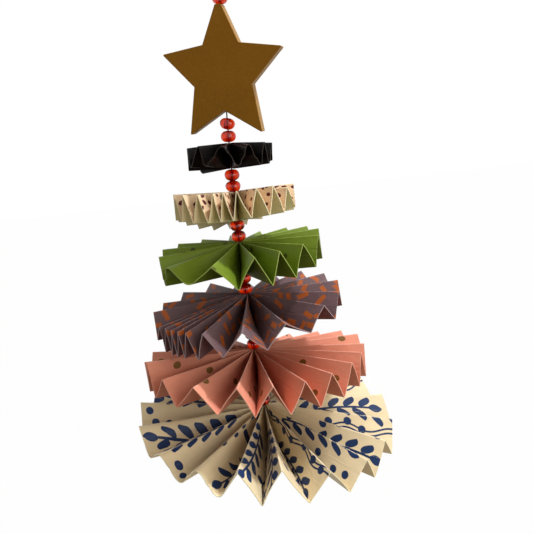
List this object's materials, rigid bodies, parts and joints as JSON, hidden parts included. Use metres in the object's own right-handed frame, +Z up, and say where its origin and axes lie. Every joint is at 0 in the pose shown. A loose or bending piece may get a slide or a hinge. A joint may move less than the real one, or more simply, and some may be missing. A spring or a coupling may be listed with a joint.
{
  "type": "folded paper tree ornament",
  "caption": "Hanging tree ornament of pleated paper rosettes, widening downwards, strung on a doubled thread with orange glass beads between them and a gold star on top",
  "frame": {"origin": "top of the hanging loop, where a hook or a twig bears on it", "axes": "+Z up along the hanging direction; -Y is the front, where the star faces; +X is the right seen from the front"},
  "size_m": [0.0727, 0.0715, 0.1669],
  "materials": {
    "gold_paint": "cut wood painted matte antique gold",
    "black_paper": "satin black sheet",
    "cream_paper": "uncoated cream sheet, plain on one side and printed with burgundy ovals on the other",
    "green_paper": "moss green sheet with a few dark olive dots",
    "grey_paper": "mauve grey sheet with short orange-brown brush strokes",
    "pink_paper": "salmon pink sheet with olive-brown oval dots",
    "blue_paper": "cream sheet printed with navy leaf sprigs, dots and wavy lines",
    "bead_glass": "translucent orange-red glass, fire polished",
    "thread_fibre": "twisted brown sewing thread, doubled"
  },
  "bodies": {
    "root": {"star": "gold_paint", "black_rosette": "black_paper", "cream_rosette": "cream_paper", "green_rosette": "green_paper", "grey_rosette": "grey_paper", "pink_rosette": "pink_paper", "blue_rosette": "blue_paper", "top_bead_1": "bead_glass", "top_bead_2": "bead_glass", "star_bead_1": "bead_glass", "star_bead_2": "bead_glass", "black_bead_1": "bead_glass", "black_bead_2": "bead_glass", "cream_bead_1": "bead_glass", "cream_bead_2": "bead_glass", "green_bead_1": "bead_glass", "green_bead_2": "bead_glass", "grey_bead_1": "bead_glass", "grey_bead_2": "bead_glass", "grey_bead_3": "bead_glass", "pink_bead_1": "bead_glass", "pink_bead_2": "bead_glass", "pink_bead_3": "bead_glass", "stop_bead": "bead_glass", "thread": "thread_fibre", "end_knot": "thread_fibre", "hanging_loop": "thread_fibre"}
  },
  "joints": []
}
